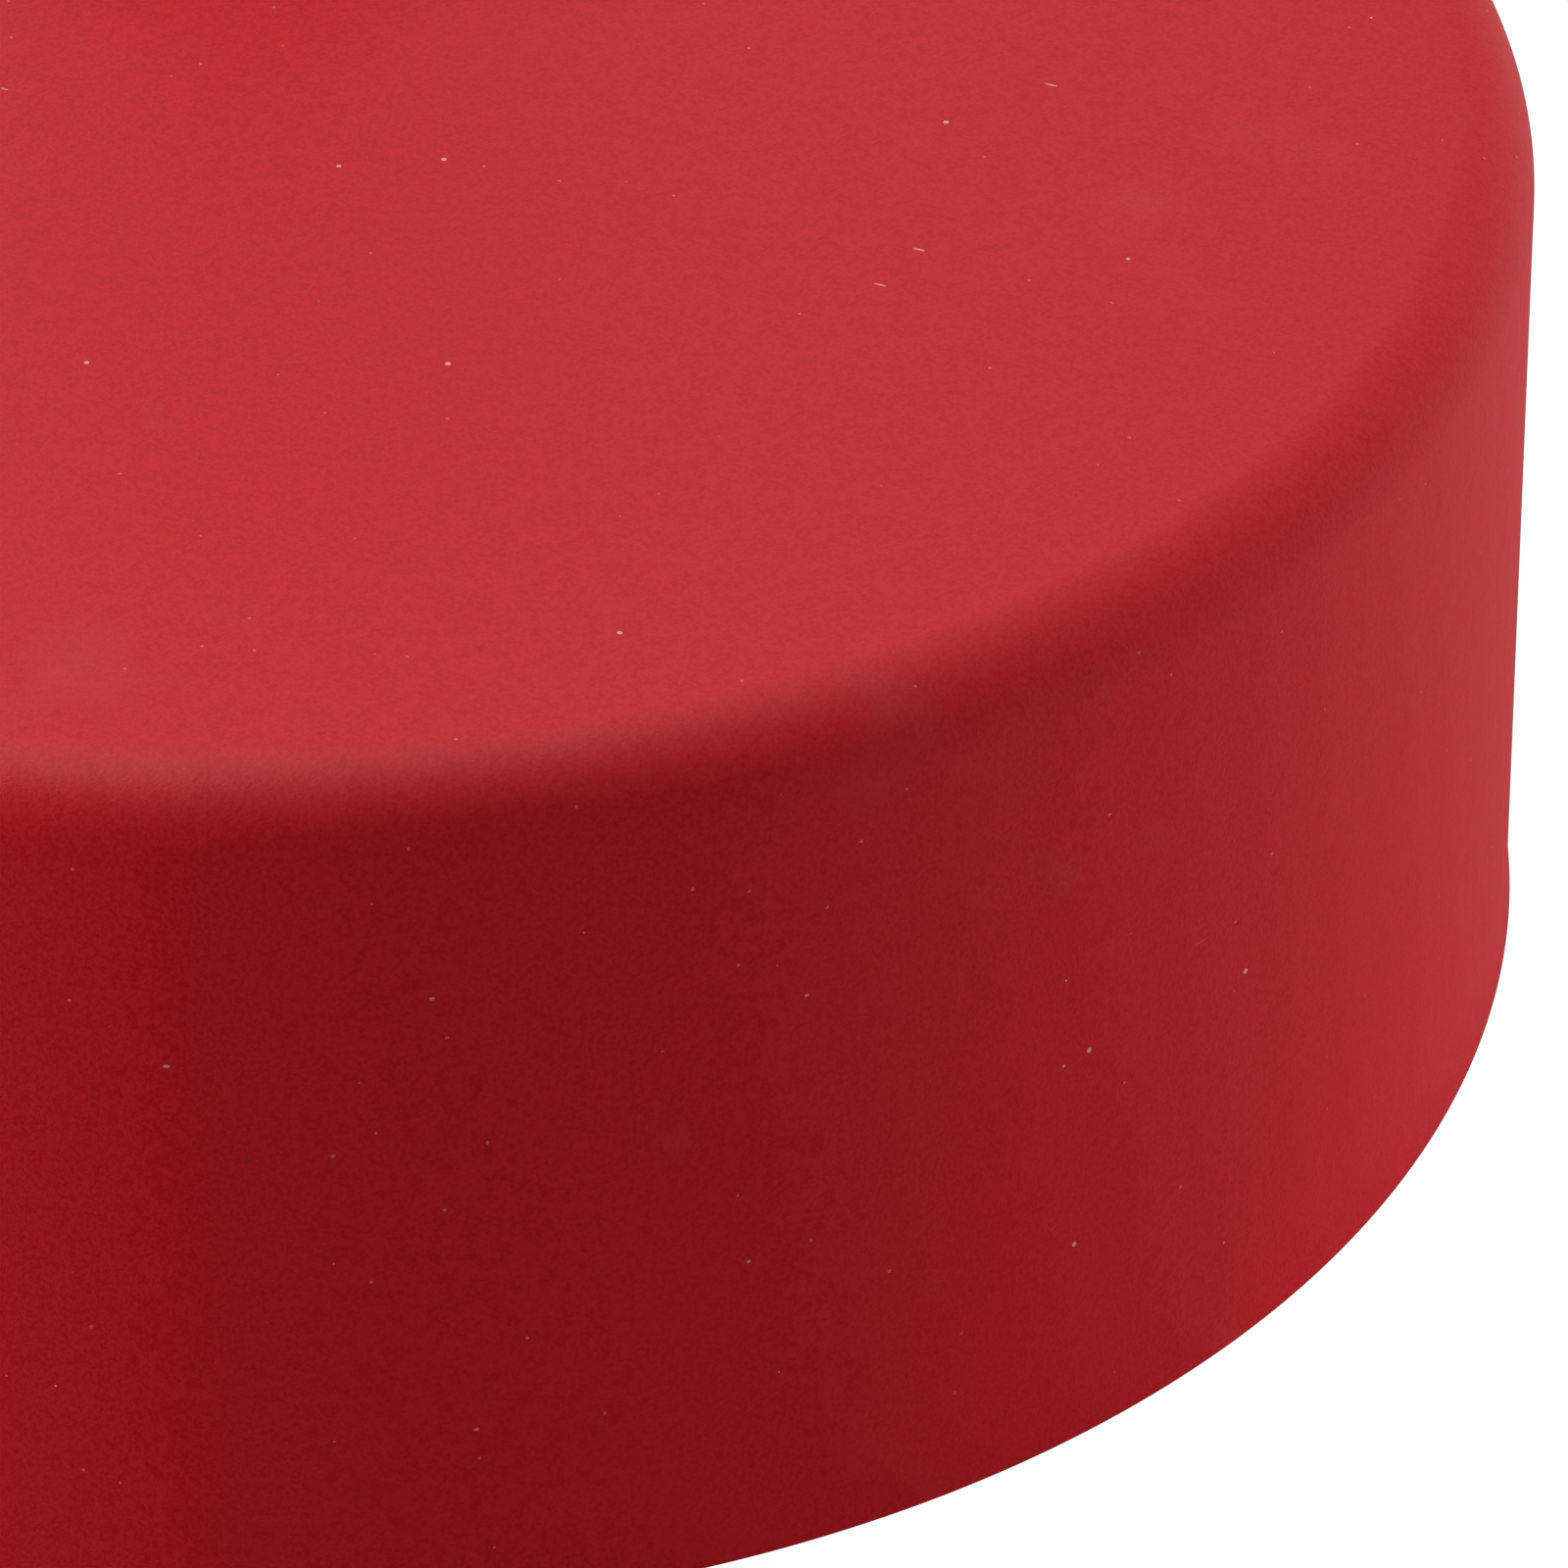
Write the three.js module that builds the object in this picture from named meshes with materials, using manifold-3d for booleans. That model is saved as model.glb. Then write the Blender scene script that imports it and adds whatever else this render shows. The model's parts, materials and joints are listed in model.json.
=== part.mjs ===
// Floor curling stone: a weighted drum under a moulded cover, rolling on three ball units,
// with a one-armed handle that is bolted down behind the middle and reaches forward over it.
// Millimetres. +Z is up, the floor is z = 0 and the drum's axis is x = y = 0. +Y is the back.

import * as THREE from "three";
import { mergeVertices } from "three/addons/utils/BufferGeometryUtils.js";
import Module from "manifold-3d";

const { degToRad } = THREE.MathUtils;

// ---- driving dimensions ----

const CLEARANCE = 0.3; // air left between neighbouring pieces

// cover: a cup turned upside down
const RIM_RADIUS = 140;
const RIM_TO_FLOOR = 3.5;
const COVER_HEIGHT = 98.3;
const WALL_DRAFT = degToRad(1.7);
const TOP_EDGE_FILLET = 9;
const RIM_FLARE = 0.42; // how far the wall turns out over its last FLARE_HEIGHT
const FLARE_HEIGHT = 7.7;
const SIDE_WALL = 3;
const TOP_WALL = 4;
const COVER_SEGMENTS = 64;
const BOSS_RADIUS = 6;

// chassis: base plate, rubber pad and ballast
const PLATE_RADIUS = 134;
const PLATE_BOTTOM = 9;
const PLATE_THICKNESS = 6;
const PAD_THICKNESS = 1.2;
const BALLAST_OUTER_RADIUS = 110;
const BALLAST_INNER_RADIUS = 34;
const BALLAST_THICKNESS = 20;
const BASE_SCREW_COUNT = 6;
const BASE_SCREW_CIRCLE = 118;
const BALLAST_SCREW_CIRCLE = 52;

// ball units: a load ball under three small support balls in a nylon seat and a steel housing
const UNIT_COUNT = 3;
const UNIT_CIRCLE = 85;
const UNIT_START = degToRad(90);
const BALL_RADIUS = 12.7;
const SUPPORT_RADIUS = 2.2;
const SUPPORT_COUNT = 3;
const SUPPORT_LATITUDE = degToRad(50);
const HOUSING_RADIUS = 17.7;
const HOUSING_WALL = 1;
const HOUSING_TOP = 32.5;
const FLANGE_RADIUS = 27;
const FLANGE_THICKNESS = 1.7;
const UNIT_SCREW_OFFSET = 22.5;
const RETAINER_RADIUS = 18;
const RETAINER_THICKNESS = 1.8;

// handle: foot, bent arm and grip
const FOOT_RADIUS = 26; // half the foot's width, and its rounded ends
const FOOT_HALF_STRAIGHT = 18;
const FOOT_Y = 62;
const FOOT_THICKNESS = 8;
const FOOT_BEVEL = 2;
const GASKET_THICKNESS = 1.2;
const BACKING_THICKNESS = 3;
const POST_Y = 66;
const SOCKET_RADIUS = 16;
const SOCKET_HEIGHT = 18; // above the foot's top face
const SOCKET_FLOOR = 3;
const ARM_RADIUS = 11;
const ARM_BEND = 30;
const GRIP_HEIGHT = 66; // from the cover's top face to the grip's axis
const GRIP_RADIUS = 15;
const GRIP_FRONT_Y = -54;
const CAP_LENGTH = 7;
const COLLAR_LENGTH = 4;
const HANDLE_SCREW_X = 16;
const HANDLE_SCREW_REACH = 27; // from the foot's middle, along Y

// fasteners: shank radius, head radius and head height
const M3 = { shank: 1.6, head: 3.4, height: 1.8 };
const M4 = { shank: 2, head: 4, height: 1.8 };
const M5 = { shank: 2.5, head: 4.8, height: 2.6 };

// ---- heights and places that follow from them ----

const TOP_Z = RIM_TO_FLOOR + COVER_HEIGHT;
const CEILING_Z = TOP_Z - TOP_WALL;
const PLATE_TOP = PLATE_BOTTOM + PLATE_THICKNESS;
const PAD_BOTTOM = PLATE_TOP + CLEARANCE;
const PAD_TOP = PAD_BOTTOM + PAD_THICKNESS;
const BALLAST_BOTTOM = PAD_TOP + CLEARANCE;
const BALLAST_TOP = BALLAST_BOTTOM + BALLAST_THICKNESS;
const FLANGE_TOP = PLATE_BOTTOM - CLEARANCE;
const FLANGE_BOTTOM = FLANGE_TOP - FLANGE_THICKNESS;
const GASKET_BOTTOM = TOP_Z + CLEARANCE;
const FOOT_BOTTOM = GASKET_BOTTOM + GASKET_THICKNESS + CLEARANCE;
const FOOT_TOP = FOOT_BOTTOM + FOOT_THICKNESS;
const BACKING_TOP = CEILING_Z - CLEARANCE;
const BACKING_BOTTOM = BACKING_TOP - BACKING_THICKNESS;
const GRIP_Z = TOP_Z + GRIP_HEIGHT;
const GRIP_BACK_Y = POST_Y - ARM_BEND;

// Points evenly round a circle in the XY plane.
function around(count, radius, start) {
  return Array.from({ length: count }, (_, i) => {
    const angle = start + (i * 2 * Math.PI) / count;
    return { x: radius * Math.cos(angle), y: radius * Math.sin(angle), angle };
  });
}

const baseScrews = around(BASE_SCREW_COUNT, BASE_SCREW_CIRCLE, 0);
const ballastScrews = around(UNIT_COUNT, BALLAST_SCREW_CIRCLE, UNIT_START + Math.PI);
const units = around(UNIT_COUNT, UNIT_CIRCLE, UNIT_START);
const handleScrews = [-1, 1].flatMap((side) =>
  [-1, 1].map((end) => ({ x: side * HANDLE_SCREW_X, y: FOOT_Y + end * HANDLE_SCREW_REACH })),
);

// The two screws of a ball unit sit either side of it, square to the drum's radius.
function unitScrews(unit) {
  return [-1, 1].map((side) => ({
    x: unit.x - side * UNIT_SCREW_OFFSET * Math.sin(unit.angle),
    y: unit.y + side * UNIT_SCREW_OFFSET * Math.cos(unit.angle),
  }));
}

// ---- materials ----

function material(color, roughness, metalness) {
  return new THREE.MeshStandardMaterial({ color, roughness, metalness });
}

const looks = {
  cover: () => material(0xb4282f, 0.55, 0),
  plate: () => material(0x2a2b2d, 0.6, 0),
  rubber: () => material(0x1c1c1d, 0.85, 0),
  castIron: () => material(0x4a4b4d, 0.7, 0.8),
  steel: () => material(0xb9bcc0, 0.3, 1),
  nylon: () => material(0xd9d6cb, 0.5, 0),
  ball: () => material(0xd5d8dc, 0.12, 1),
  handle: () => material(0x232426, 0.45, 0),
  grip: () => material(0x191a1b, 0.8, 0),
};

// ---- shapes ----

const wasm = await Module();
wasm.setup();

// A geometry as a manifold solid, with its shared vertices merged.
function solid(geometry) {
  const bare = geometry.index ? geometry.toNonIndexed() : geometry.clone();
  bare.deleteAttribute("normal");
  bare.deleteAttribute("uv");
  const merged = mergeVertices(bare);
  return new wasm.Manifold(
    new wasm.Mesh({
      numProp: 3,
      vertProperties: merged.attributes.position.array,
      triVerts: new Uint32Array(merged.index.array),
    }),
  );
}

// A manifold solid back as a geometry.
function geometryOf(manifold) {
  const { vertProperties, triVerts } = manifold.getMesh();
  const geometry = new THREE.BufferGeometry();
  geometry.setAttribute("position", new THREE.BufferAttribute(vertProperties, 3));
  geometry.setIndex(new THREE.BufferAttribute(triVerts, 1));
  geometry.computeVertexNormals();
  return geometry;
}

function cut(geometry, holes) {
  const start = solid(geometry);
  return geometryOf(holes.reduce((body, hole) => body.subtract(solid(hole)), start));
}

function join(geometry, extras) {
  const start = solid(geometry);
  return geometryOf(extras.reduce((body, extra) => body.add(solid(extra)), start));
}

// A solid turned about +Z from [radius, height] points, from its top round the outside to its bottom.
function turned(points, segments) {
  const outline = points.map(([r, z]) => new THREE.Vector2(r, z)).reverse();
  return new THREE.LatheGeometry(outline, segments).rotateX(Math.PI / 2);
}

// Points on an arc of a turned outline, from one angle to another, measured up from the radius.
function arc(centreR, centreZ, radius, from, to, steps) {
  return Array.from({ length: steps + 1 }, (_, i) => {
    const angle = from + ((to - from) * i) / steps;
    return [centreR + radius * Math.cos(angle), centreZ + radius * Math.sin(angle)];
  });
}

function ring(inner, outer, bottom, top, segments) {
  const corners = [[inner, top], [outer, top], [outer, bottom], [inner, bottom], [inner, top]];
  return turned(corners, segments);
}

function disc(radius, bottom, top, segments) {
  return turned([[0, top], [radius, top], [radius, bottom], [0, bottom]], segments);
}

function rod(place, radius, bottom, top, segments = 8) {
  return disc(radius, bottom, top, segments).translate(place.x, place.y, 0);
}

// A plate with straight sides and round ends, its length along Y.
function stadiumPlate(radius, halfStraight, bottom, thickness, bevel) {
  const outline = new THREE.Shape();
  outline.absarc(0, halfStraight, radius - bevel, 0, Math.PI, false);
  outline.absarc(0, -halfStraight, radius - bevel, Math.PI, 2 * Math.PI, false);
  outline.closePath();
  const plate = new THREE.ExtrudeGeometry(outline, {
    depth: thickness - 2 * bevel,
    curveSegments: 12,
    bevelEnabled: bevel > 0,
    bevelThickness: bevel,
    bevelSize: bevel,
    bevelSegments: 2,
  });
  return plate.translate(0, FOOT_Y, bottom + bevel);
}

// A button-headed screw along Z: its head's flat side is at seat, and its shank runs the other way.
// A positive shank points up and a negative one down. The head has a round drive recess.
function screw(place, size, seat, shankLength) {
  const way = Math.sign(shankLength);
  const recess = size.head * 0.42;
  const crown = -size.height;
  const points = [
    [0, crown * 0.45],
    [recess, crown * 0.45],
    [recess, crown],
    [size.head * 0.7, crown],
    [size.head, crown * 0.35],
    [size.head, 0],
    [size.shank, 0],
    [size.shank, Math.abs(shankLength)],
    [0, Math.abs(shankLength)],
  ].map(([r, z]) => [r, seat + way * z]);
  if (way > 0) points.reverse();
  return turned(points, 8).translate(place.x, place.y, 0);
}

// ---- cover ----

function wallRadius(height) {
  return RIM_RADIUS - RIM_FLARE - height * Math.tan(WALL_DRAFT);
}

function coverShell() {
  const filletZ = COVER_HEIGHT - TOP_EDGE_FILLET;
  const filletR = wallRadius(filletZ) - TOP_EDGE_FILLET / Math.cos(WALL_DRAFT);
  const innerTop = COVER_HEIGHT - TOP_WALL;
  const innerCorner = TOP_EDGE_FILLET - SIDE_WALL;
  const points = [
    [0, COVER_HEIGHT],
    ...arc(filletR, filletZ, TOP_EDGE_FILLET, Math.PI / 2, WALL_DRAFT, 6),
    [wallRadius(FLARE_HEIGHT), FLARE_HEIGHT],
    [RIM_RADIUS, 0],
    [RIM_RADIUS - SIDE_WALL, 0],
    [wallRadius(innerTop - innerCorner) - SIDE_WALL, innerTop - innerCorner],
    [wallRadius(innerTop) - SIDE_WALL - innerCorner, innerTop],
    [0, innerTop],
  ];
  return turned(points, COVER_SEGMENTS).translate(0, 0, RIM_TO_FLOOR);
}

function coverGeometry() {
  const bosses = baseScrews.map((place) =>
    rod(place, BOSS_RADIUS, PAD_BOTTOM, CEILING_Z + TOP_WALL / 2, 10),
  );
  const pilots = baseScrews.map((place) =>
    rod(place, M4.shank + CLEARANCE, PLATE_TOP - 1, PLATE_TOP + 20),
  );
  const handleHoles = handleScrews.map((place) =>
    rod(place, M4.shank + CLEARANCE, CEILING_Z - 1, TOP_Z + 1),
  );
  return cut(join(coverShell(), bosses), [...pilots, ...handleHoles]);
}

// ---- chassis ----

const unitHoleRadius = HOUSING_RADIUS + 0.5;

function unitHoles(radius, bottom, top) {
  return units.map((unit) => rod(unit, radius, bottom - 1, top + 1, 24));
}

function screwHoles(places, size, bottom, top) {
  return places.map((place) => rod(place, size.shank + CLEARANCE, bottom - 1, top + 1));
}

function basePlateGeometry() {
  const plate = disc(PLATE_RADIUS, PLATE_BOTTOM, PLATE_TOP, COVER_SEGMENTS);
  return cut(plate, [
    ...unitHoles(unitHoleRadius, PLATE_BOTTOM, PLATE_TOP),
    ...screwHoles(units.flatMap(unitScrews), M3, PLATE_BOTTOM, PLATE_TOP),
    ...screwHoles(baseScrews, M4, PLATE_BOTTOM, PLATE_TOP),
    ...screwHoles(ballastScrews, M5, PLATE_BOTTOM, PLATE_TOP),
  ]);
}

function padGeometry() {
  const pad = ring(BALLAST_INNER_RADIUS, BALLAST_OUTER_RADIUS - 2, PAD_BOTTOM, PAD_TOP, 48);
  return cut(pad, [
    ...unitHoles(unitHoleRadius + 1, PAD_BOTTOM, PAD_TOP),
    ...screwHoles(ballastScrews, M5, PAD_BOTTOM, PAD_TOP),
  ]);
}

function ballastGeometry() {
  const ballast = ring(
    BALLAST_INNER_RADIUS, BALLAST_OUTER_RADIUS, BALLAST_BOTTOM, BALLAST_TOP, 48,
  );
  return cut(ballast, [
    ...unitHoles(unitHoleRadius + 1, BALLAST_BOTTOM, BALLAST_TOP),
    ...screwHoles(ballastScrews, M5, BALLAST_BOTTOM, BALLAST_TOP - 4),
  ]);
}

// ---- one ball unit, about its own axis ----

const housingBore = HOUSING_RADIUS - HOUSING_WALL;
const seatRadius = housingBore - CLEARANCE;
const pocketRadius = BALL_RADIUS + 0.4;
const supportOrbit = BALL_RADIUS + SUPPORT_RADIUS + CLEARANCE;
const supportR = supportOrbit * Math.cos(SUPPORT_LATITUDE);
const supportZ = BALL_RADIUS + supportOrbit * Math.sin(SUPPORT_LATITUDE);

function housingGeometry(unit) {
  const shoulder = 3;
  const ceiling = HOUSING_TOP - HOUSING_WALL;
  const shell = turned(
    [
      [0, HOUSING_TOP],
      [HOUSING_RADIUS - shoulder, HOUSING_TOP],
      [HOUSING_RADIUS, HOUSING_TOP - shoulder],
      [HOUSING_RADIUS, FLANGE_TOP],
      [FLANGE_RADIUS, FLANGE_TOP],
      [FLANGE_RADIUS, FLANGE_BOTTOM],
      [housingBore, FLANGE_BOTTOM],
      [housingBore, ceiling - shoulder],
      [housingBore - shoulder, ceiling],
      [0, ceiling],
    ],
    20,
  ).translate(unit.x, unit.y, 0);
  return cut(shell, screwHoles(unitScrews(unit), M3, FLANGE_BOTTOM, FLANGE_TOP));
}

// The seat's pocket follows the load ball, with a square groove where the support balls run.
function seatGeometry(unit) {
  const shoulder = 3;
  const top = HOUSING_TOP - HOUSING_WALL - CLEARANCE;
  const bottom = FLANGE_TOP + 0.6;
  const half = SUPPORT_RADIUS + 0.4;
  const edge = half / pocketRadius;
  const outward = [Math.cos(SUPPORT_LATITUDE), Math.sin(SUPPORT_LATITUDE)];
  const grooveCorner = (side) => [
    supportR + half * (outward[0] - side * outward[1]),
    supportZ + half * (outward[1] + side * outward[0]),
  ];
  const below = arc(0, BALL_RADIUS, pocketRadius, 0, SUPPORT_LATITUDE - edge, 3);
  const above = arc(0, BALL_RADIUS, pocketRadius, SUPPORT_LATITUDE + edge, Math.PI / 2, 3);
  const points = [
    [0, top],
    [seatRadius - shoulder, top],
    [seatRadius, top - shoulder],
    [seatRadius, bottom],
    [pocketRadius, bottom],
    ...below,
    grooveCorner(-1),
    grooveCorner(1),
    ...above.slice(0, -1),
    [0, BALL_RADIUS + pocketRadius],
  ];
  return turned(points, 20).translate(unit.x, unit.y, 0);
}

function retainerGeometry(unit) {
  const top = FLANGE_BOTTOM - CLEARANCE;
  const bottom = top - RETAINER_THICKNESS;
  const ballRadiusAt = (z) => Math.sqrt(BALL_RADIUS ** 2 - (BALL_RADIUS - z) ** 2);
  const lip = (z) => [ballRadiusAt(z) + 0.5, z];
  const spigotTop = FLANGE_TOP;
  const points = [
    [pocketRadius, spigotTop],
    [seatRadius, spigotTop],
    [seatRadius, top],
    [RETAINER_RADIUS, top],
    [RETAINER_RADIUS, bottom + 0.8],
    [RETAINER_RADIUS - 0.8, bottom],
    lip(bottom),
    lip(top),
    [pocketRadius, top + 0.6],
    [pocketRadius, spigotTop],
  ];
  return turned(points, 20).translate(unit.x, unit.y, 0);
}

// The load ball's mesh has its poles on its rolling axis, which lies along X.
function ballGeometry(unit) {
  const ball = new THREE.SphereGeometry(BALL_RADIUS, 24, 10).rotateZ(Math.PI / 2);
  return ball.translate(unit.x, unit.y, BALL_RADIUS);
}

function supportGeometry(unit, place) {
  const ball = new THREE.SphereGeometry(SUPPORT_RADIUS, 8, 6);
  return ball.translate(unit.x + place.x, unit.y + place.y, supportZ);
}

// ---- handle ----

function footGeometry() {
  const plate = stadiumPlate(
    FOOT_RADIUS, FOOT_HALF_STRAIGHT, FOOT_BOTTOM, FOOT_THICKNESS, FOOT_BEVEL,
  );
  const socketTop = FOOT_TOP + SOCKET_HEIGHT;
  const socket = turned(
    [
      [0, socketTop],
      [SOCKET_RADIUS - 1.5, socketTop],
      [SOCKET_RADIUS, socketTop - 1.5],
      [SOCKET_RADIUS, FOOT_TOP + 5],
      [SOCKET_RADIUS + 5, FOOT_TOP],
      [SOCKET_RADIUS + 5, FOOT_TOP - 2],
      [0, FOOT_TOP - 2],
    ],
    24,
  ).translate(0, POST_Y, 0);
  const bore = rod(
    { x: 0, y: POST_Y }, ARM_RADIUS + CLEARANCE, FOOT_BOTTOM + SOCKET_FLOOR, socketTop + 1, 24,
  );
  const setScrewHole = setScrewRod(M5.shank + CLEARANCE, SOCKET_RADIUS + 2, ARM_RADIUS);
  return cut(join(plate, [socket]), [
    bore,
    setScrewHole,
    ...screwHoles(handleScrews, M4, FOOT_BOTTOM, FOOT_TOP),
  ]);
}

// A rod through the socket's back wall, along Y, between two distances from the post's axis.
function setScrewRod(radius, outerReach, innerReach) {
  const height = FOOT_TOP + SOCKET_HEIGHT * 0.6;
  const bar = disc(radius, innerReach, outerReach, 8).rotateX(-Math.PI / 2);
  return bar.translate(0, POST_Y, height);
}

function gasketGeometry() {
  const sheet = stadiumPlate(
    FOOT_RADIUS - 1, FOOT_HALF_STRAIGHT, GASKET_BOTTOM, GASKET_THICKNESS, 0,
  );
  return cut(sheet, screwHoles(handleScrews, M4, GASKET_BOTTOM, FOOT_BOTTOM));
}

function backingGeometry() {
  const sheet = stadiumPlate(
    FOOT_RADIUS - 2, FOOT_HALF_STRAIGHT, BACKING_BOTTOM, BACKING_THICKNESS, 0,
  );
  return cut(sheet, screwHoles(handleScrews, M4, BACKING_BOTTOM, BACKING_TOP));
}

// The arm stands in the socket, turns forward on a quarter circle and ends under the grip's cap.
function armGeometry() {
  const bottom = FOOT_BOTTOM + SOCKET_FLOOR + CLEARANCE;
  const bendZ = GRIP_Z - ARM_BEND;
  const kappa = 0.5523 * ARM_BEND; // a cubic curve's handle length for a quarter circle
  const path = new THREE.CurvePath();
  const postTop = new THREE.Vector3(0, POST_Y, bendZ);
  const gripBack = new THREE.Vector3(0, GRIP_BACK_Y, GRIP_Z);
  path.add(new THREE.LineCurve3(new THREE.Vector3(0, POST_Y, bottom), postTop));
  path.add(
    new THREE.CubicBezierCurve3(
      postTop,
      new THREE.Vector3(0, POST_Y, bendZ + kappa),
      new THREE.Vector3(0, GRIP_BACK_Y + kappa, GRIP_Z),
      gripBack,
    ),
  );
  path.add(new THREE.LineCurve3(gripBack, new THREE.Vector3(0, GRIP_FRONT_Y, GRIP_Z)));
  const section = new THREE.Shape().absarc(0, 0, ARM_RADIUS, 0, 2 * Math.PI, false);
  const bar = new THREE.ExtrudeGeometry(section, {
    extrudePath: path,
    steps: 24,
    curveSegments: 8,
    bevelEnabled: false,
  });
  const screwHole = alongGrip(disc(M4.shank + CLEARANCE, -1, 16, 8), GRIP_FRONT_Y);
  return cut(bar, [screwHole]);
}

// Turns a piece made about +Z to lie along the grip, its base at y and its height running back.
function alongGrip(geometry, y) {
  return geometry.rotateX(-Math.PI / 2).translate(0, y, GRIP_Z);
}

function sleeveGeometry() {
  const length = GRIP_BACK_Y - GRIP_FRONT_Y - COLLAR_LENGTH - CLEARANCE;
  const bore = ARM_RADIUS + CLEARANCE;
  return alongGrip(ring(bore, GRIP_RADIUS, 0, length, 20), GRIP_FRONT_Y);
}

function collarGeometry() {
  const bore = ARM_RADIUS + CLEARANCE;
  const chamfer = 1;
  const points = [
    [bore, COLLAR_LENGTH],
    [GRIP_RADIUS - chamfer, COLLAR_LENGTH],
    [GRIP_RADIUS, COLLAR_LENGTH - chamfer],
    [GRIP_RADIUS, 0],
    [bore, 0],
    [bore, COLLAR_LENGTH],
  ];
  return alongGrip(turned(points, 20), GRIP_BACK_Y - COLLAR_LENGTH);
}

function capGeometry() {
  const bore = M4.shank + CLEARANCE;
  const recess = M4.head + CLEARANCE;
  const floor = CAP_LENGTH - M4.height - CLEARANCE;
  const points = [
    [bore, CAP_LENGTH],
    [GRIP_RADIUS, CAP_LENGTH],
    ...arc(GRIP_RADIUS - 5, CAP_LENGTH - 2, 5, 0, -Math.PI / 2, 3).map(([r, z]) => [r, z]),
    [recess, CAP_LENGTH - 7],
    [recess, floor - 2],
    [bore, floor - 2],
    [bore, CAP_LENGTH],
  ];
  return alongGrip(turned(points, 20), GRIP_FRONT_Y - CLEARANCE - CAP_LENGTH);
}

function gripScrewGeometry() {
  const seat = CAP_LENGTH - M4.height - CLEARANCE - 2 - CLEARANCE;
  const piece = screw({ x: 0, y: 0 }, M4, seat, 16);
  return alongGrip(piece, GRIP_FRONT_Y - CLEARANCE - CAP_LENGTH);
}

function nutGeometry(place) {
  const across = 4.1;
  const top = BACKING_BOTTOM - CLEARANCE;
  return ring(M4.shank + CLEARANCE, across, top - 3.2, top, 6).translate(place.x, place.y, 0);
}

// ---- the assembly ----

const stone = new THREE.Group();
stone.name = "curling_stone";

function place(parent, name, geometry, look) {
  const mesh = new THREE.Mesh(geometry, look());
  mesh.name = name;
  parent.add(mesh);
}

function group(name) {
  const part = new THREE.Group();
  part.name = name;
  stone.add(part);
  return part;
}

const body = group("body");
place(body, "cover", coverGeometry(), looks.cover);
place(body, "base_plate", basePlateGeometry(), looks.plate);
place(body, "ballast_pad", padGeometry(), looks.rubber);
place(body, "ballast_ring", ballastGeometry(), looks.castIron);
baseScrews.forEach((at, i) => {
  const shank = PLATE_THICKNESS + 14;
  place(body, `base_screw_${i + 1}`, screw(at, M4, FLANGE_TOP, shank), looks.steel);
});
ballastScrews.forEach((at, i) => {
  const shank = BALLAST_TOP - 6 - FLANGE_TOP;
  place(body, `ballast_screw_${i + 1}`, screw(at, M5, FLANGE_TOP, shank), looks.steel);
});

units.forEach((unit, i) => {
  const id = i + 1;
  const parts = group(`ball_unit_${id}`);
  place(parts, `ball_housing_${id}`, housingGeometry(unit), looks.steel);
  place(parts, `ball_seat_${id}`, seatGeometry(unit), looks.nylon);
  place(parts, `ball_retainer_${id}`, retainerGeometry(unit), looks.nylon);
  place(parts, `ball_${id}`, ballGeometry(unit), looks.ball);
  around(SUPPORT_COUNT, supportR, unit.angle).forEach((at, k) => {
    place(parts, `support_ball_${id}_${"abc"[k]}`, supportGeometry(unit, at), looks.ball);
  });
  unitScrews(unit).forEach((at, k) => {
    const geometry = screw(at, M3, FLANGE_BOTTOM - CLEARANCE, 7.4);
    place(parts, `unit_screw_${id}_${"ab"[k]}`, geometry, looks.steel);
  });
});

const handle = group("handle");
place(handle, "handle_gasket", gasketGeometry(), looks.rubber);
place(handle, "handle_foot", footGeometry(), looks.handle);
place(handle, "handle_arm", armGeometry(), looks.handle);
place(handle, "grip_sleeve", sleeveGeometry(), looks.grip);
place(handle, "grip_collar", collarGeometry(), looks.steel);
place(handle, "grip_end_cap", capGeometry(), looks.handle);
place(handle, "grip_screw", gripScrewGeometry(), looks.steel);
place(handle, "handle_set_screw", setScrewRod(M5.shank, SOCKET_RADIUS - 0.6, 11.8), looks.steel);
place(handle, "handle_backing_plate", backingGeometry(), looks.steel);
handleScrews.forEach((at, i) => {
  const seat = FOOT_TOP + CLEARANCE;
  const shank = -(seat - BACKING_BOTTOM + 5);
  place(handle, `handle_screw_${i + 1}`, screw(at, M4, seat, shank), looks.steel);
  place(handle, `handle_nut_${i + 1}`, nutGeometry(at), looks.steel);
});

export default stone;
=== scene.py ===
"""The looks of a floor curling stone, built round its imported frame. Metres, +Z up, +Y to the back."""

import json
import math

import bpy
from mathutils import Matrix, Vector


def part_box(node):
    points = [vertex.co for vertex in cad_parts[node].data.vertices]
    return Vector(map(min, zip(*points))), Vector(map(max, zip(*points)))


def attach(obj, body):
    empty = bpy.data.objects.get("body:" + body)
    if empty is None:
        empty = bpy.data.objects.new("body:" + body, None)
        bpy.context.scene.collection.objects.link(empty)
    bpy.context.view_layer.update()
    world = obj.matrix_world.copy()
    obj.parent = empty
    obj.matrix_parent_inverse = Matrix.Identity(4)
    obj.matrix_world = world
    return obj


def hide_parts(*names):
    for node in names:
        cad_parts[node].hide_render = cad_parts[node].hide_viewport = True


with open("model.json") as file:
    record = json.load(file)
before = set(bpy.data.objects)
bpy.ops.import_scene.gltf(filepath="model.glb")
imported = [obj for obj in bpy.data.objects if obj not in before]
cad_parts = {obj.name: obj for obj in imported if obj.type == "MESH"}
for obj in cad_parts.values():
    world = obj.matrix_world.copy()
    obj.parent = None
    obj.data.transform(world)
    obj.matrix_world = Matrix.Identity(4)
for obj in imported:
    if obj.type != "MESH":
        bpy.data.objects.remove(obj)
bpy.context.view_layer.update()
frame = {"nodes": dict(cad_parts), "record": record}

MM = 0.001

# ---- measures that the frame gives ----

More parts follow.
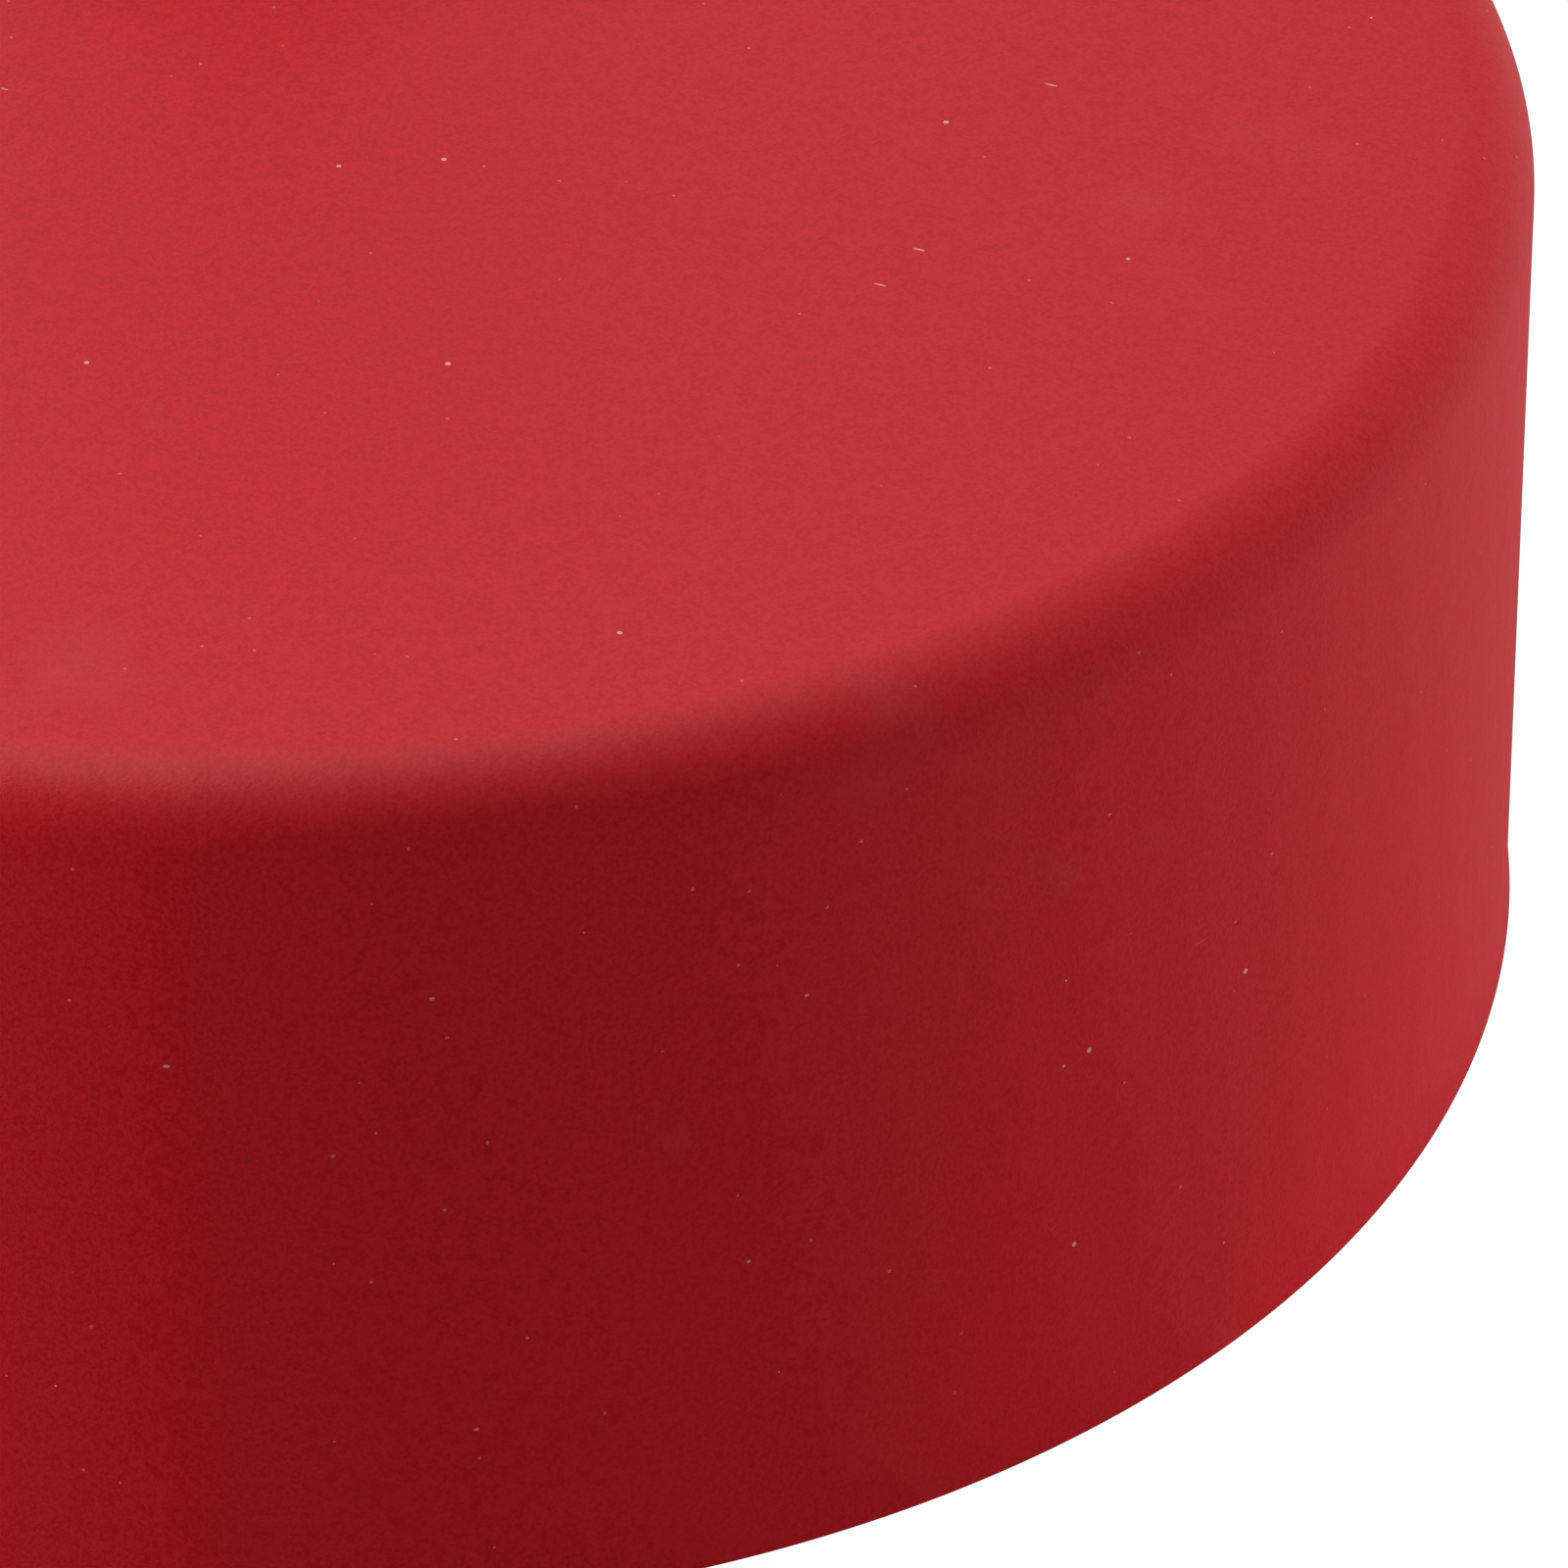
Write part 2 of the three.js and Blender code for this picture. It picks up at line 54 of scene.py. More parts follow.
cover_low, cover_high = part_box("cover")
RIM_RADIUS = cover_high.x
RIM_Z = cover_low.z
TOP_Z = cover_high.z
COVER_HEIGHT = TOP_Z - RIM_Z

# ---- measures of the cover, as the CAD model has them ----

WALL_DRAFT = math.radians(1.7)
TOP_EDGE_FILLET = 9 * MM
RIM_FLARE = 0.42 * MM
FLARE_HEIGHT = 7.7 * MM
SIDE_WALL = 3 * MM
TOP_WALL = 4 * MM

# ---- camera: a long lens aimed past the drum's front right edge, so only that part of it shows ----

CAMERA_DISTANCE = 9.0 * RIM_RADIUS
CAMERA_ELEVATION = math.radians(34.898)
CAMERA_PAN = math.radians(-2.743)
CAMERA_TILT = math.radians(0.175)
SENSOR = 36.0
FOCAL_LENGTH = 7.3084 * SENSOR


def make_camera():
    target = Vector((0, 0, RIM_Z))
    back = Vector((0, -math.cos(CAMERA_ELEVATION), math.sin(CAMERA_ELEVATION)))
    place = target + back * CAMERA_DISTANCE
    right = Vector((1, 0, 0))
    forward = -back
    up = right.cross(forward)
    pan = Matrix.Rotation(CAMERA_PAN, 3, up)
    forward, right = pan @ forward, pan @ right
    tilt = Matrix.Rotation(CAMERA_TILT, 3, right)
    forward, up = tilt @ forward, tilt @ up
    data = bpy.data.cameras.new("camera")
    data.lens = FOCAL_LENGTH
    data.sensor_width = SENSOR
    data.clip_start = 0.05
    data.clip_end = 50
    camera = bpy.data.objects.new("camera", data)
    turn = Matrix((right, up, -forward)).transposed()
    camera.matrix_world = Matrix.Translation(place) @ turn.to_4x4()
    bpy.context.scene.collection.objects.link(camera)
    bpy.context.scene.camera = camera


# ---- light, floor and sky ----

# the sky is dark in front and bright behind, by the Y of the direction it is seen in
SKY_EDGE = (-0.5, -0.05)
SKY_LEVELS = (0.02, 0.42)
# the floor is dark on the left and brighter on the right, by its X
FLOOR_EDGE = (0.05, 0.5)
FLOOR_LEVELS = (0.07, 0.55)

def area_light(name, place, way, size, power, mirrored=False):
    """A square light at a place, facing along way. Unless mirrored, it only lights matt surfaces."""
    data = bpy.data.lights.new(name, "AREA")
    data.shape = "SQUARE"
    data.size = size
    data.energy = power
    light = bpy.data.objects.new(name, data)
    light.location = place
    light.rotation_euler = (-Vector(way)).to_track_quat("Z", "Y").to_euler()
    light.visible_camera = False
    light.visible_glossy = mirrored
    data.cycles.use_multiple_importance_sampling = mirrored
    bpy.context.scene.collection.objects.link(light)
    return light


def softbox(name, azimuth, elevation, distance, size, power, mirrored=False):
    """A light that faces the drum's top. Azimuth 0 is the front, 90 the right."""
    a, e = math.radians(azimuth), math.radians(elevation)
    way = Vector((math.sin(a) * math.cos(e), -math.cos(a) * math.cos(e), math.sin(e)))
    return area_light(name, Vector((0, 0, TOP_Z)) + way * distance, -way, size, power, mirrored)


def floor_bounce(name, x, y, size, power):
    """Light thrown up by a bright patch of floor whose middle is at x, y."""
    return area_light(name, (x, y, 1 * MM), (0, 0, 1), size, power)


def rising(tree, place, axis, ends, levels):
    """A level that rises from one value to another between two points along an axis."""
    split = tree.nodes.new("ShaderNodeSeparateXYZ")
    tree.links.new(place, split.inputs[0])
    node = tree.nodes.new("ShaderNodeMapRange")
    node.interpolation_type = "SMOOTHSTEP"
    node.inputs["From Min"].default_value, node.inputs["From Max"].default_value = ends
    node.inputs["To Min"].default_value, node.inputs["To Max"].default_value = levels
    tree.links.new(split.outputs[axis], node.inputs["Value"])
    return node.outputs["Result"]


def seen_or_lit(tree, kind, brightness):
    """A surface that the camera sees as white, and that lights the object with its own brightness."""
    lit = tree.nodes.new(kind)
    tree.links.new(brightness, lit.inputs["Strength"])
    seen = tree.nodes.new(kind)
    for glow in (lit, seen):
        glow.inputs["Color"].default_value = (1, 1, 1, 1)
    seen.inputs["Strength"].default_value = 1.0
    path = tree.nodes.new("ShaderNodeLightPath")
    mix = tree.nodes.new("ShaderNodeMixShader")
    tree.links.new(path.outputs["Is Camera Ray"], mix.inputs[0])
    tree.links.new(lit.outputs[0], mix.inputs[1])
    tree.links.new(seen.outputs[0], mix.inputs[2])
    return mix


def make_studio():
    scene = bpy.context.scene
    scene.view_settings.view_transform = "Standard"
    scene.view_settings.look = "None"

    world = bpy.data.worlds.new("studio")
    scene.world = world
    world.cycles.sampling_method = "NONE"
    world.use_nodes = True
    tree = world.node_tree
    tree.nodes.clear()
    direction = tree.nodes.new("ShaderNodeTexCoord").outputs["Generated"]
    sky = seen_or_lit(tree, "ShaderNodeBackground", rising(tree, direction, "Y", SKY_EDGE, SKY_LEVELS))
    out = tree.nodes.new("ShaderNodeOutputWorld")
    tree.links.new(sky.outputs[0], out.inputs["Surface"])

    material = bpy.data.materials.new("floor")
    material.cycles.emission_sampling = "NONE"
    material.use_nodes = True
    tree = material.node_tree
    tree.nodes.clear()
    place = tree.nodes.new("ShaderNodeTexCoord").outputs["Object"]
    ground = seen_or_lit(tree, "ShaderNodeEmission", rising(tree, place, "X", FLOOR_EDGE, FLOOR_LEVELS))
    out = tree.nodes.new("ShaderNodeOutputMaterial")
    tree.links.new(ground.outputs[0], out.inputs["Surface"])

    half = 3.0
    corners = [(-half, -half, 0), (half, -half, 0), (half, half, 0), (-half, half, 0)]
    mesh = bpy.data.meshes.new("floor")
    mesh.from_pydata(corners, [], [(0, 1, 2, 3)])
    floor = bpy.data.objects.new("floor", mesh)
    floor.data.materials.append(material)
    bpy.context.scene.collection.objects.link(floor)

    softbox("right", azimuth=110, elevation=3, distance=1.5, size=0.8, power=13.5)
    softbox("left", azimuth=-85, elevation=4, distance=1.5, size=0.5, power=24)
    floor_bounce("floor_right", x=0.8, y=0.6, size=1.4, power=6)
    floor_bounce("floor_front", x=-0.1, y=-0.7, size=1.2, power=3.1)
    return softbox("overhead", -110, elevation=70, distance=1.0, size=1.0, power=9.1, mirrored=True)


def pass_by(light, pieces):
    """The light shines past these pieces, as if it were spread wide enough to reach round them."""
    blockers = bpy.data.collections.new(light.name + "_blockers")
    for piece in pieces:
        blockers.objects.link(piece)
    for member in blockers.collection_objects:
        member.light_linking.link_state = "EXCLUDE"
    light.light_linking.blocker_collection = blockers


# ---- mesh building ----


def add_piece(name, mesh, material, body, replaced, smooth_angle=35):
    """Links a finished mesh as a piece of the object, parents it to the body it rides on, and hides the
    CAD parts it stands for.
    """
    mesh.name = name
    mesh.materials.clear()
    mesh.materials.append(material)
    for polygon in mesh.polygons:
        polygon.use_smooth = True
    mesh.set_sharp_from_angle(angle=math.radians(smooth_angle))
    piece = bpy.data.objects.new(name, mesh)
    bpy.context.scene.collection.objects.link(piece)
    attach(piece, body)
    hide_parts(*replaced)
    return piece


def arc(centre_r, centre_z, radius, start, end, steps):
    """Points on an arc of an outline, from one angle to another, measured up from the radius."""
    turns = [start + (end - start) * i / steps for i in range(steps + 1)]
    return [(centre_r + radius * math.cos(t), centre_z + radius * math.sin(t)) for t in turns]


def eased(corners, steps=4):
    """An outline with rounded corners. Each corner is (r, z) or (r, z, radius of its rounding)."""
    points = []
    count = len(corners)
    for i, corner in enumerate(corners):
        here = Vector(corner[:2])
        radius = corner[2] if len(corner) > 2 else 0
        if not radius or i in (0, count - 1):
            points.append(tuple(here))
            continue
        to_last = (Vector(corners[i - 1][:2]) - here).normalized()
        to_next = (Vector(corners[i + 1][:2]) - here).normalized()
        half = to_last.angle(to_next) / 2
        start = here + to_last * radius / math.tan(half)
        end = here + to_next * radius / math.tan(half)
        centre = here + (to_last + to_next).normalized() * radius / math.sin(half)
        for k in range(steps + 1):
            chord = start.lerp(end, k / steps) - centre
            points.append(tuple(centre + chord.normalized() * radius))
    return points


def outline_radius(radius, sides, angle):
    """The distance from the axis to a polygon's edge, or the radius where there are no sides."""
    if not sides:
        return radius
    part = 2 * math.pi / sides
    return radius * math.cos(part / 2) / math.cos(angle % part - part / 2)


def turned(outline, segments, place=None):
    """A solid turned about Z from an outline of (r, z) or (r, z, polygon sides), listed from its top
    round the outside to its bottom. place is a matrix that then puts it where it goes."""
    verts, faces, rings = [], [], []
    for r, z, *sides in outline:
        if r < 1e-9:
            rings.append([len(verts)] * segments)
            verts.append((0, 0, z))
            continue
        rings.append(list(range(len(verts), len(verts) + segments)))
        for i in range(segments):
            angle = 2 * math.pi * i / segments
            here = outline_radius(r, sides[0] if sides else 0, angle)
            verts.append((here * math.cos(angle), here * math.sin(angle), z))
    closed = outline[0][0] > 1e-9
    pairs = list(zip(rings, rings[1:])) + ([(rings[-1], rings[0])] if closed else [])
    for upper, lower in pairs:
        for i in range(segments):
            j = (i + 1) % segments
            face = [upper[i], lower[i], lower[j], upper[j]]
            face = [v for k, v in enumerate(face) if v != face[k - 1]]
            faces.append(face)
    mesh = bpy.data.meshes.new("turned")
    mesh.from_pydata(verts, [], faces)
    if place is not None:
        mesh.transform(place)
    return mesh


def at(x, y, z=0.0):
    return Matrix.Translation((x, y, z))


def centre_of(node):
    low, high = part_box(node)
    return (low + high) / 2


def combined(mesh, others, operation):
    """The mesh with other meshes cut from it or joined to it."""
    scene = bpy.context.scene
    piece = bpy.data.objects.new("combined", mesh)
    scene.collection.objects.link(piece)
    tools = []
    for other in others:
        tool = bpy.data.objects.new("tool", other)
        scene.collection.objects.link(tool)
        modifier = piece.modifiers.new("boolean", "BOOLEAN")
        modifier.operation = operation
        modifier.solver = "EXACT"
        modifier.object = tool
        tools.append(tool)
    graph = bpy.context.evaluated_depsgraph_get()
    made = bpy.data.meshes.new_from_object(piece.evaluated_get(graph))
    for extra in [piece, *tools]:
        bpy.data.objects.remove(extra)
    return made


def drill(radius, bottom, top, place, segments=24):
    """A plain rod to cut holes with."""
    return turned([(0, top), (radius, top), (radius, bottom), (0, bottom)], segments, place)


# ---- materials ----


class Look:
    """A Principled material with procedural colour, roughness and bump."""

    def __init__(self, name, colour, roughness, metallic=0.0, **sockets):
        self.material = bpy.data.materials.new(name)
        self.material.use_nodes = True
        self.tree = self.material.node_tree
        self.shader = self.tree.nodes["Principled BSDF"]
        self.colour = None
        self.height = None
        self.shader.inputs["Base Color"].default_value = (*colour, 1)
        self.base = (*colour, 1)
        self.shader.inputs["Roughness"].default_value = roughness
        self.shader.inputs["Metallic"].default_value = metallic
        for socket, value in sockets.items():
            self.shader.inputs[socket.replace("_", " ")].default_value = value
        self.place = self.tree.nodes.new("ShaderNodeTexCoord").outputs["Object"]

    def link(self, output, socket):
        self.tree.links.new(output, socket)

    def noise(self, size, detail=2.0, rough=0.5, stretch=(1, 1, 1)):
        """Noise whose blobs are about size metres across."""
        mapping = self.tree.nodes.new("ShaderNodeMapping")
        mapping.inputs["Scale"].default_value = stretch
        self.link(self.place, mapping.inputs["Vector"])
        node = self.tree.nodes.new("ShaderNodeTexNoise")
        node.inputs["Scale"].default_value = 1 / size
        node.inputs["Detail"].default_value = detail
        node.inputs["Roughness"].default_value = rough
        self.link(mapping.outputs[0], node.inputs["Vector"])
        return node.outputs["Fac"]

    def ramp(self, value, stops):
        """value mapped through (position, level) stops."""
        node = self.tree.nodes.new("ShaderNodeValToRGB")
        ramp = node.color_ramp
        while len(ramp.elements) < len(stops):
            ramp.elements.new(0.5)
        for element, (position, level) in zip(ramp.elements, stops):
            element.position = position
            element.color = (level, level, level, 1)
        self.link(value, node.inputs["Fac"])
        return node.outputs["Color"]

    def math(self, operation, a, b):
        node = self.tree.nodes.new("ShaderNodeMath")
        node.operation = operation
        for socket, value in zip(node.inputs, (a, b)):
            if isinstance(value, (int, float)):
                socket.default_value = value
            else:
                self.link(value, socket)
        return node.outputs[0]

    def tint(self, mask, colour, strength=1.0):
        """Mixes a colour into the base where the mask is high."""
        mix = self.tree.nodes.new("ShaderNodeMix")
        mix.data_type = "RGBA"
        self.link(self.math("MULTIPLY", mask, strength), mix.inputs["Factor"])
        if self.colour is None:
            mix.inputs["A"].default_value = self.base
        else:
            self.link(self.colour, mix.inputs["A"])
        mix.inputs["B"].default_value = (*colour, 1)
        self.colour = mix.outputs["Result"]
        self.link(self.colour, self.shader.inputs["Base Color"])

    def roughen(self, mask, low, high):
        node = self.tree.nodes.new("ShaderNodeMapRange")
        node.inputs["To Min"].default_value = low
        node.inputs["To Max"].default_value = high
        self.link(mask, node.inputs["Value"])
        self.link(node.outputs["Result"], self.shader.inputs["Roughness"])

    def bump(self, value, depth):
        """Adds relief of about depth metres."""
        node = self.tree.nodes.new("ShaderNodeBump")
        node.inputs["Strength"].default_value = 1.0
        node.inputs["Distance"].default_value = depth
        self.link(value, node.inputs["Height"])
        if self.height is not None:
            self.link(self.height, node.inputs["Normal"])
        self.height = node.outputs["Normal"]
        self.link(self.height, self.shader.inputs["Normal"])

    def specks(self, cell, size, share, stretch=1.0, turn=0.0):
        """Spots of a size in metres, one in a share of the cells, drawn out along one way when asked."""
        mapping = self.tree.nodes.new("ShaderNodeMapping")
        mapping.vector_type = "TEXTURE"
        mapping.inputs["Scale"].default_value = (stretch, 1, 1)
        mapping.inputs["Rotation"].default_value = (0, 0, turn)
        self.link(self.place, mapping.inputs["Vector"])
        node = self.tree.nodes.new("ShaderNodeTexVoronoi")
        node.inputs["Scale"].default_value = 1 / cell
        self.link(mapping.outputs[0], node.inputs["Vector"])
        near = self.math("LESS_THAN", node.outputs["Distance"], size / cell)
        pick = self.tree.nodes.new("ShaderNodeSeparateColor")
        self.link(node.outputs["Color"], pick.inputs["Color"])
        rare = self.math("LESS_THAN", pick.outputs["Red"], share)
        return self.math("MULTIPLY", near, rare)


def cover_look():
    """Soft-touch red moulding: fine grain, faint mottling, a grey smear or two and a little dust."""
    look = Look(
        "cover_red", (0.51, 0.0085, 0.0145), 0.56,
        Specular_IOR_Level=0.28, Sheen_Weight=0.06, Sheen_Roughness=0.4,
    )
    mottling = look.ramp(look.noise(1.6 * MM, 4, 0.7), [(0.4, 0.0), (0.6, 1.0)])
    look.tint(mottling, (0.455, 0.005, 0.0095), 0.7)
    grain = look.ramp(look.noise(0.5 * MM, 1), [(0.42, 0.0), (0.58, 1.0)])
    look.tint(grain, (0.555, 0.014, 0.022), 0.6)
    smears = look.ramp(look.noise(28 * MM, 3, 0.6), [(0.62, 0.0), (0.8, 1.0)])
    look.tint(smears, (0.50, 0.06, 0.065), 0.25)
    look.tint(look.specks(4 * MM, 0.2 * MM, 0.5), (0.62, 0.16, 0.15), 0.7)
    look.tint(look.specks(6 * MM, 0.28 * MM, 0.3), (0.30, 0.02, 0.02), 0.45)
    look.tint(look.specks(9 * MM, 0.3 * MM, 0.5), (0.75, 0.40, 0.38), 0.8)
    fibres = look.specks(6 * MM, 0.17 * MM, 0.5, stretch=4, turn=math.radians(-25))
    look.tint(fibres, (0.70, 0.32, 0.32), 0.7)
    scratches = look.specks(7 * MM, 0.1 * MM, 0.9, stretch=60, turn=math.radians(40))
    look.tint(scratches, (0.60, 0.12, 0.12), 0.3)
    look.roughen(look.noise(3 * MM, 3), 0.5, 0.62)
    look.bump(look.noise(0.35 * MM, 2), 0.03 * MM)
    return look.material


def plastic_look(name, colour, roughness, grain, depth):
    look = Look(name, colour, roughness)
    lighter = tuple(min(1, c * 1.5 + 0.01) for c in colour)
    look.tint(look.ramp(look.noise(4 * MM, 4, 0.6), [(0.35, 0.0), (0.75, 1.0)]), lighter, 0.4)
    look.roughen(look.noise(6 * MM, 3), roughness - 0.08, roughness + 0.08)
    look.bump(look.noise(grain, 2), depth)
    return look.material


def steel_look(name, colour, roughness, brushed=1.0):
    look = Look(name, colour, roughness, metallic=1.0)
    darker = tuple(c * 0.7 for c in colour)
    look.tint(look.ramp(look.noise(1.5 * MM, 4, 0.6), [(0.4, 0.0), (0.8, 1.0)]), darker, 0.35)
    look.roughen(look.noise(0.8 * MM, 3, stretch=(1, 1, brushed)), roughness * 0.7, roughness * 1.4)
    look.bump(look.noise(0.5 * MM, 2), 0.004 * MM)
    return look.material


def cast_look():
    look = Look("cast_iron", (0.09, 0.09, 0.095), 0.65, metallic=0.7)
    look.tint(look.ramp(look.noise(7 * MM, 5, 0.7), [(0.45, 0.0), (0.7, 1.0)]), (0.12, 0.07, 0.045), 0.5)
    look.bump(look.noise(1.2 * MM, 4, 0.7), 0.25 * MM)
    return look.material


# ---- the cover ----


def wall_radius(height):
    return RIM_RADIUS - RIM_FLARE - height * math.tan(WALL_DRAFT)


def make_cover(material):
    fillet_z = COVER_HEIGHT - TOP_EDGE_FILLET
    fillet_r = wall_radius(fillet_z) - TOP_EDGE_FILLET / math.cos(WALL_DRAFT)
    inner_top = COVER_HEIGHT - TOP_WALL
    corner = TOP_EDGE_FILLET - SIDE_WALL
    flare = [
        (wall_radius(h) + RIM_FLARE * (1 - h / FLARE_HEIGHT) ** 2, h)
        for h in [FLARE_HEIGHT * (1 - i / 6) for i in range(6)]
    ]
    top = [(fillet_r * i / 12, COVER_HEIGHT) for i in range(12)]
    wall_top = fillet_z + TOP_EDGE_FILLET * math.sin(WALL_DRAFT)
    wall = [wall_top + (FLARE_HEIGHT - wall_top) * i / 16 for i in range(1, 16)]
    outline = [
        *top,
        *arc(fillet_r, fillet_z, TOP_EDGE_FILLET, math.pi / 2, WALL_DRAFT, 24),
        *[(wall_radius(h), h) for h in wall],
        *flare,
        (RIM_RADIUS, 0.08 * MM),
        (RIM_RADIUS - 0.08 * MM, 0),
        (RIM_RADIUS - SIDE_WALL + 0.4 * MM, 0),
        (RIM_RADIUS - SIDE_WALL, 0.4 * MM),
        (wall_radius(inner_top - corner) - SIDE_WALL, inner_top - corner),
        (wall_radius(inner_top) - SIDE_WALL - corner, inner_top),
        (0, inner_top),
    ]
    mesh = turned(outline, 384, at(0, 0, RIM_Z))
    return add_piece("cover_shell", mesh, material, "stone", ["cover"])


# ---- screws ----


def hex_screw(node, head_r, head_h, way, material):
    """A button-headed socket screw in place of a CAD one. way is 1 where the shank points up, else -1."""
    low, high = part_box(node)
    middle = (low + high) / 2
    seat = low.z + head_h if way > 0 else high.z - head_h
    shank_end = high.z if way > 0 else low.z
    length = abs(shank_end - seat)
    shank = head_r / 2 if head_r < 4.5 * MM else head_r * 0.52
    socket = head_r * 0.5
    dome = arc(0, 0, head_r * 0.98, math.radians(80), math.radians(8), 8)
    crown = [(r, head_h * (z / head_r)) for r, z in dome]
    outline = [
        (0, head_h * 0.35),
        (socket * 0.96, head_h * 0.35, 6),
        (socket, head_h * 0.88, 6),
        (socket * 1.1, head_h * 0.97),
        *[(max(r, socket * 1.2), z) for r, z in crown],
        (head_r, head_h * 0.08),
        (head_r * 0.97, 0),
        (shank, 0),
        (shank, -length + 0.5 * MM),
        (shank - 0.5 * MM, -length),
        (0, -length),
    ]
    flip = Matrix.Diagonal((1, -1, -1, 1)) if way > 0 else Matrix.Identity(4)
    mesh = turned(outline, 36, at(middle.x, middle.y, seat) @ flip)
    return add_piece("look_" + node, mesh, material, "stone", [node], 30)


# ---- underside ----


def make_base_plate(material):
    """The base plate, with two shallow rings moulded into its underside."""
    low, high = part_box("base_plate")
    radius = high.x
    plate = turned(
        eased([(0, high.z), (radius, high.z, 0.6 * MM), (radius, low.z, 1.2 * MM), (0, low.z)]), 160,
    )
    holes = []
    for i in UNITS:
        middle = centre_of(f"ball_housing_{i}")
        holes.append(drill(18.2 * MM, -1, 1, at(middle.x, middle.y), 64))
    for node, hole_radius in PLATE_SCREWS.items():
        middle = centre_of(node)
        holes.append(drill(hole_radius, -1, 1, at(middle.x, middle.y)))
    for radius_in, radius_out in ((24 * MM, 34 * MM), (125 * MM, 130 * MM)):
        depth = low.z + 1.2 * MM
        groove = [(radius_in, depth), (radius_out, depth), (radius_out, 0), (radius_in, 0)]
        holes.append(turned(groove, 128))
    mesh = combined(plate, holes, "DIFFERENCE")
    return add_piece("look_base_plate", mesh, material, "stone", ["base_plate"], 30)


def make_ball_unit(i, steel, nylon, polished):
    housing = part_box(f"ball_housing_{i}")
    middle = centre_of(f"ball_housing_{i}")
    bottom, top = housing[0].z, housing[1].z
    flange_r = housing[1].x - middle.x
    body_r, flange_h, wall = 17.7 * MM, 1.7 * MM, 1 * MM
    shell = eased(
        [
            (0, top),
            (body_r, top, 3 * MM),
            (body_r, bottom + flange_h, 0.6 * MM),
            (flange_r, bottom + flange_h, 0.5 * MM),
            (flange_r, bottom, 0.8 * MM),
            (body_r - wall, bottom, 0.8 * MM),
            (body_r - wall, top - wall, 3 * MM),
            (0, top - wall),
        ],
    )
    screws = [centre_of(f"unit_screw_{i}_{k}") for k in "ab"]
    tools = [drill(1.9 * MM, -1, 1, at(hole.x, hole.y)) for hole in screws]
    mesh = combined(turned(shell, 96, at(middle.x, middle.y)), tools, "DIFFERENCE")
    add_piece(f"look_ball_housing_{i}", mesh, steel, "stone", [f"ball_housing_{i}"], 30)

    low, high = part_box(f"ball_retainer_{i}")
    outer = high.x - middle.x
    ball_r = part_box(f"ball_{i}")[1].z / 2
    lip_top = bottom - 0.3 * MM

    def lip(z):
        return math.sqrt(ball_r ** 2 - (ball_r - z) ** 2) + 0.5 * MM

    ring = eased(
        [
            (13.1 * MM, high.z),
            (16.4 * MM, high.z),
            (16.4 * MM, lip_top),
            (outer, lip_top, 0.3 * MM),
            (outer, low.z, 1.0 * MM),
            (lip(low.z) + 1.6 * MM, low.z, 0.4 * MM),
            (lip(low.z + 0.5 * MM), low.z + 0.5 * MM, 0.2 * MM),
            (lip(lip_top), lip_top),
            (13.1 * MM, lip_top + 0.6 * MM),
        ],
    )
    mesh = turned(ring, 96, at(middle.x, middle.y))
    add_piece(f"look_ball_retainer_{i}", mesh, nylon, "stone", [f"ball_retainer_{i}"], 30)

    ball = arc(0, 0, ball_r, math.pi / 2, -math.pi / 2, 40)
    ball[0], ball[-1] = (0, ball_r), (0, -ball_r)
    lie = Matrix.Rotation(math.pi / 2, 4, "Y")
    mesh = turned(ball, 80, at(middle.x, middle.y, ball_r) @ lie)
    add_piece(f"look_ball_{i}", mesh, polished, f"ball_{i}", [f"ball_{i}"], 60)


# ---- handle ----


def stadium(radius, half_straight, inset, steps=24):
    """Points round a stadium outline whose length is along Y, moved in by inset."""
    points = []
    for side in (1, -1):
        for i in range(steps + 1):
            angle = math.pi * i / steps + (0 if side > 0 else math.pi)
            reach = radius - inset
            points.append((reach * math.cos(angle), side * half_straight + reach * math.sin(angle)))
    return points


def stadium_plate(outline, radius, half_straight, middle_y):
    """A plate whose edge follows (inset, z) points from the top round the side to the bottom."""
    verts, rings = [], []
    for inset, z in outline:
        ring = stadium(radius, half_straight, inset)
        rings.append(list(range(len(verts), len(verts) + len(ring))))
        verts += [(x, y + middle_y, z) for x, y in ring]
    faces = [rings[0], rings[-1][::-1]]
    for upper, lower in zip(rings, rings[1:]):
        for i in range(len(upper)):
            j = (i + 1) % len(upper)
            faces.append([upper[i], lower[i], lower[j], upper[j]])
    mesh = bpy.data.meshes.new("stadium_plate")
    mesh.from_pydata(verts, [], faces)
    return mesh


